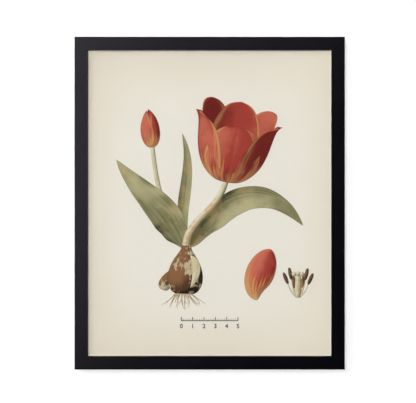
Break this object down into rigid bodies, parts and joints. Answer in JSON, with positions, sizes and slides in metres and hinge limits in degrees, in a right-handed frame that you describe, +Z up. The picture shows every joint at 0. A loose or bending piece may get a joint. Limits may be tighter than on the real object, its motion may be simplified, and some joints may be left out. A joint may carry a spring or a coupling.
{
  "type": "framed print",
  "caption": "Upright framed print for a wall: black mitred wood frame, clear glazing, botanical plate on aged paper, board back with turn buttons and a toothed hanger.",
  "frame": {"origin": "on the wall plane, straight behind the root of the toothed hanger's middle notch, where the wall nail carries the frame", "axes": "+Z up along the frame's long sides; +Y into the wall, so the picture faces -Y; +X to the right for someone facing the picture"},
  "size_m": [0.433, 0.0195, 0.533],
  "materials": {
    "black_paint": "satin",
    "clear_sheet": "gloss",
    "printed_paper": "matte",
    "filler_card": "matte",
    "hardboard": "matte",
    "zinc_plate": "satin",
    "rubber": "matte"
  },
  "bodies": {
    "frame": {"moulding_top": "black_paint", "moulding_right": "black_paint", "moulding_bottom": "black_paint", "moulding_left": "black_paint", "button_screw_top_1": "zinc_plate", "button_screw_top_2": "zinc_plate", "button_screw_right_1": "zinc_plate", "button_screw_right_2": "zinc_plate", "button_screw_bottom_1": "zinc_plate", "button_screw_bottom_2": "zinc_plate", "button_screw_left_1": "zinc_plate", "button_screw_left_2": "zinc_plate", "v_nail_top_right_outer": "zinc_plate", "v_nail_top_right_inner": "zinc_plate", "v_nail_bottom_right_outer": "zinc_plate", "v_nail_bottom_right_inner": "zinc_plate", "v_nail_bottom_left_outer": "zinc_plate", "v_nail_bottom_left_inner": "zinc_plate", "v_nail_top_left_outer": "zinc_plate", "v_nail_top_left_inner": "zinc_plate", "glazing": "clear_sheet", "print": "printed_paper", "filler_board": "filler_card", "hardboard_back": "hardboard", "toothed_hanger": "zinc_plate", "hanger_nail_1": "zinc_plate", "hanger_nail_2": "zinc_plate", "bumper_1": "rubber", "bumper_2": "rubber"},
    "button_top_1": {"turn_button_top_1": "zinc_plate"},
    "button_top_2": {"turn_button_top_2": "zinc_plate"},
    "button_right_1": {"turn_button_right_1": "zinc_plate"},
    "button_right_2": {"turn_button_right_2": "zinc_plate"},
    "button_bottom_1": {"turn_button_bottom_1": "zinc_plate"},
    "button_bottom_2": {"turn_button_bottom_2": "zinc_plate"},
    "button_left_1": {"turn_button_left_1": "zinc_plate"},
    "button_left_2": {"turn_button_left_2": "zinc_plate"}
  },
  "joints": [
    {"name": "swivel_top_1", "type": "hinge", "parent": "frame", "child": "button_top_1", "pos_m": [-0.11, -0.0024, 0.003], "axis": [0, 1, 0], "continuous": true},
    {"name": "swivel_top_2", "type": "hinge", "parent": "frame", "child": "button_top_2", "pos_m": [0.11, -0.0024, 0.003], "axis": [0, 1, 0], "continuous": true},
    {"name": "swivel_right_1", "type": "hinge", "parent": "frame", "child": "button_right_1", "pos_m": [0.2085, -0.0024, -0.1155], "axis": [0, 1, 0], "continuous": true},
    {"name": "swivel_right_2", "type": "hinge", "parent": "frame", "child": "button_right_2", "pos_m": [0.2085, -0.0024, -0.3955], "axis": [0, 1, 0], "continuous": true},
    {"name": "swivel_bottom_1", "type": "hinge", "parent": "frame", "child": "button_bottom_1", "pos_m": [0.11, -0.0024, -0.514], "axis": [0, 1, 0], "continuous": true},
    {"name": "swivel_bottom_2", "type": "hinge", "parent": "frame", "child": "button_bottom_2", "pos_m": [-0.11, -0.0024, -0.514], "axis": [0, 1, 0], "continuous": true},
    {"name": "swivel_left_1", "type": "hinge", "parent": "frame", "child": "button_left_1", "pos_m": [-0.2085, -0.0024, -0.3955], "axis": [0, 1, 0], "continuous": true},
    {"name": "swivel_left_2", "type": "hinge", "parent": "frame", "child": "button_left_2", "pos_m": [-0.2085, -0.0024, -0.1155], "axis": [0, 1, 0], "continuous": true}
  ]
}
